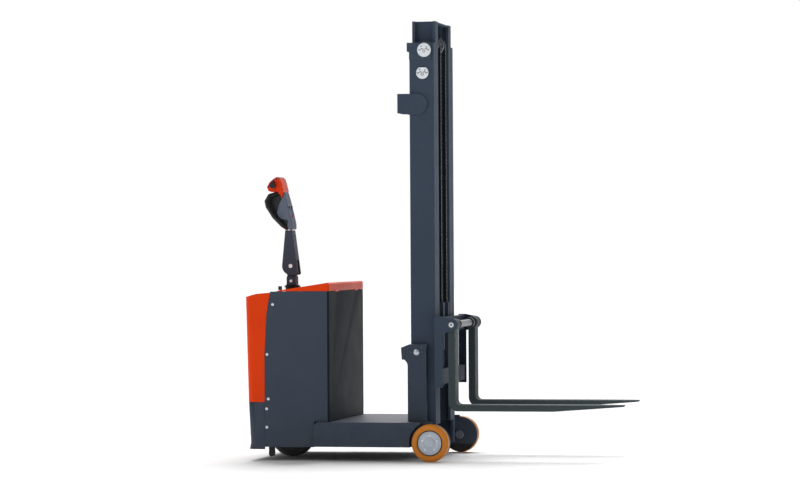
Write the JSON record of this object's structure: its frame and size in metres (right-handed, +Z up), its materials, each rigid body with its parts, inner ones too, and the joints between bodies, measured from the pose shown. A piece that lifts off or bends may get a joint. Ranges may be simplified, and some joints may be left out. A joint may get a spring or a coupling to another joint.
{
  "type": "walkie stacker",
  "caption": "Pedestrian-controlled electric stacker: counterbalanced chassis, two-stage chain mast, fork carriage, tilting and steering tiller.",
  "frame": {"origin": "on the floor, at the middle of the overall length and width", "axes": "+X towards the fork tips, +Y to the truck's left, +Z up"},
  "size_m": [1.8124, 0.82, 2.093],
  "materials": {
    "paint": "satin dark blue-grey powder coat",
    "orange_cover": "gloss orange coat on moulded covers",
    "orange_plastic": "moulded orange",
    "red_plastic": "moulded red",
    "head_grey": "fine grained blue-grey moulding",
    "black_plastic": "grained black moulding",
    "black_rubber": "matt",
    "drive_rubber": "matt",
    "urethane": "amber cast polyurethane",
    "hub_silver": "satin cast",
    "bright_steel": "turned",
    "zinc": "zinc plated",
    "chrome": "hard chrome",
    "motor_casting": "painted casting",
    "cylinder_black": "black",
    "chain_steel": "oiled dark steel",
    "fork_paint": "satin grey-black"
  },
  "bodies": {
    "chassis": {"chassis_frame": "paint", "front_axles": "bright_steel", "side_panel_left": "paint", "side_panel_right": "paint", "front_cover": "paint", "rear_cover": "orange_cover", "rear_skirt": "paint", "cover_screws": "zinc", "battery": "black_plastic", "power_pack": "motor_casting", "controller": "black_plastic", "charger": "motor_casting", "key_switch": "black_plastic", "lift_cylinder": "cylinder_black", "outer_mast_left": "paint", "outer_mast_right": "paint", "upper_tie": "paint", "mast_post_left": "paint", "mast_post_right": "paint", "post_bolts": "bright_steel", "roller_caps": "zinc", "stabiliser_feet": "black_rubber"},
    "steer": {"gearbox": "paint", "traction_motor": "motor_casting", "tiller_base": "paint", "tiller_boot": "black_rubber"},
    "drive_wheel": {"drive_tyre": "drive_rubber", "drive_hub": "hub_silver"},
    "tiller": {"tiller_arm": "paint", "tiller_pin": "zinc", "tiller_head": "head_grey", "head_cap": "orange_plastic", "hand_guard": "black_plastic"},
    "throttle": {"throttle": "black_plastic"},
    "lift_button": {"lift_button": "black_plastic"},
    "lower_button": {"lower_button": "black_plastic"},
    "horn_button": {"horn_button": "orange_plastic"},
    "belly_button": {"belly_button": "red_plastic"},
    "key": {"key": "black_plastic"},
    "lid": {"top_lid": "orange_cover"},
    "wheel_left": {"tyre_left": "urethane", "hub_left": "hub_silver"},
    "wheel_right": {"tyre_right": "urethane", "hub_right": "hub_silver"},
    "inner_mast": {"inner_mast_left": "paint", "inner_mast_right": "paint", "inner_tie": "paint", "piston_rod": "chrome", "chain_front": "chain_steel", "chain_rear": "chain_steel"},
    "sheaves": {"sheaves": "bright_steel"},
    "outer_rollers": {"outer_rollers": "bright_steel"},
    "inner_rollers": {"inner_rollers": "bright_steel"},
    "upper_rollers": {"upper_rollers": "bright_steel"},
    "lower_rollers": {"lower_rollers": "bright_steel"},
    "carriage": {"carriage_frame": "paint", "fork_shaft": "bright_steel", "shaft_collars": "cylinder_black"},
    "fork_left": {"fork_left": "fork_paint"},
    "fork_right": {"fork_right": "fork_paint"}
  },
  "joints": [
    {"name": "mast_lift", "type": "slide", "parent": "chassis", "child": "inner_mast", "axis": [0, 0, 1], "range_m": [-0.1, 1.2]},
    {"name": "carriage_lift", "type": "slide", "parent": "inner_mast", "child": "carriage", "axis": [0, 0, 1], "range_m": [-0.1, 1.2], "deforming": ["chain_front"]},
    {"name": "sheave_turn", "type": "hinge", "parent": "inner_mast", "child": "sheaves", "pos_m": [-0.0485, 0, 1.99], "axis": [0, -1, 0], "range_deg": [-172, 1930]},
    {"name": "outer_roller_turn", "type": "hinge", "parent": "chassis", "child": "outer_rollers", "pos_m": [-0.0605, 0, 1.952], "axis": [0, 1, 0], "range_deg": [-147, 1634]},
    {"name": "inner_roller_turn", "type": "hinge", "parent": "inner_mast", "child": "inner_rollers", "pos_m": [-0.063, 0, 0.225], "axis": [0, 1, 0], "range_deg": [-1545, 140]},
    {"name": "upper_roller_turn", "type": "hinge", "parent": "carriage", "child": "upper_rollers", "pos_m": [-0.0605, 0, 0.61], "axis": [0, 1, 0], "range_deg": [-1634, 147]},
    {"name": "lower_roller_turn", "type": "hinge", "parent": "carriage", "child": "lower_rollers", "pos_m": [-0.0605, 0, 0.395], "axis": [0, 1, 0], "range_deg": [-147, 1634]},
    {"name": "fork_left_slide", "type": "slide", "parent": "carriage", "child": "fork_left", "axis": [0, 1, 0], "range_m": [-0.044, 0]},
    {"name": "fork_right_slide", "type": "slide", "parent": "carriage", "child": "fork_right", "axis": [0, 1, 0], "range_m": [0, 0.044]},
    {"name": "steering", "type": "hinge", "parent": "chassis", "child": "steer", "pos_m": [-0.7605, 0, 0.25], "axis": [0, 0, 1], "range_deg": [-85, 85]},
    {"name": "drive_spin", "type": "hinge", "parent": "steer", "child": "drive_wheel", "pos_m": [-0.7605, 0, 0.105], "axis": [0, 1, 0], "continuous": true},
    {"name": "tiller_tilt", "type": "hinge", "parent": "steer", "child": "tiller", "pos_m": [-0.7605, 0, 0.926], "axis": [0, -1, 0], "range_deg": [0, 80], "stiffness_Nm_per_rad": 30, "springref_deg": -34.38},
    {"name": "throttle_turn", "type": "hinge", "parent": "tiller", "child": "throttle", "pos_m": [-0.8395, 0, 1.317], "axis": [0, 1, 0], "range_deg": [-30, 30], "stiffness_Nm_per_rad": 1},
    {"name": "lift_press", "type": "slide", "parent": "tiller", "child": "lift_button", "axis": [-1, 0, 0], "range_m": [0, 0.003], "stiffness_N_per_m": 600, "springref_m": -0.002},
    {"name": "lower_press", "type": "slide", "parent": "tiller", "child": "lower_button", "axis": [-1, 0, 0], "range_m": [0, 0.003], "stiffness_N_per_m": 600, "springref_m": -0.002},
    {"name": "horn_press", "type": "slide", "parent": "tiller", "child": "horn_button", "axis": [-1, 0, 0], "range_m": [0, 0.003], "stiffness_N_per_m": 600, "springref_m": -0.002},
    {"name": "belly_press", "type": "slide", "parent": "tiller", "child": "belly_button", "axis": [0.4472, 0, -0.8944], "range_m": [0, 0.0025], "stiffness_N_per_m": 1500, "springref_m": -0.002},
    {"name": "key_turn", "type": "hinge", "parent": "chassis", "child": "key", "pos_m": [-0.7925, -0.12, 0.807], "axis": [0, 0, -1], "range_deg": [0, 90]},
    {"name": "lid_open", "type": "hinge", "parent": "chassis", "child": "lid", "pos_m": [-0.4915, 0, 0.8075], "axis": [0, 1, 0], "range_deg": [0, 75]},
    {"name": "wheel_left_spin", "type": "hinge", "parent": "chassis", "child": "wheel_left", "pos_m": [-0.0005, 0.382, 0.09], "axis": [0, 1, 0], "continuous": true},
    {"name": "wheel_right_spin", "type": "hinge", "parent": "chassis", "child": "wheel_right", "pos_m": [-0.0005, -0.382, 0.09], "axis": [0, 1, 0], "continuous": true}
  ],
  "couplings": [
    {"joint": "carriage_lift", "follows": "mast_lift", "ratio": 1},
    {"joint": "sheave_turn", "follows": "mast_lift", "rad_per_m": 27.778},
    {"joint": "outer_roller_turn", "follows": "mast_lift", "rad_per_m": 23.474},
    {"joint": "inner_roller_turn", "follows": "mast_lift", "rad_per_m": -22.173},
    {"joint": "upper_roller_turn", "follows": "mast_lift", "rad_per_m": -23.474},
    {"joint": "lower_roller_turn", "follows": "mast_lift", "rad_per_m": 23.474}
  ]
}
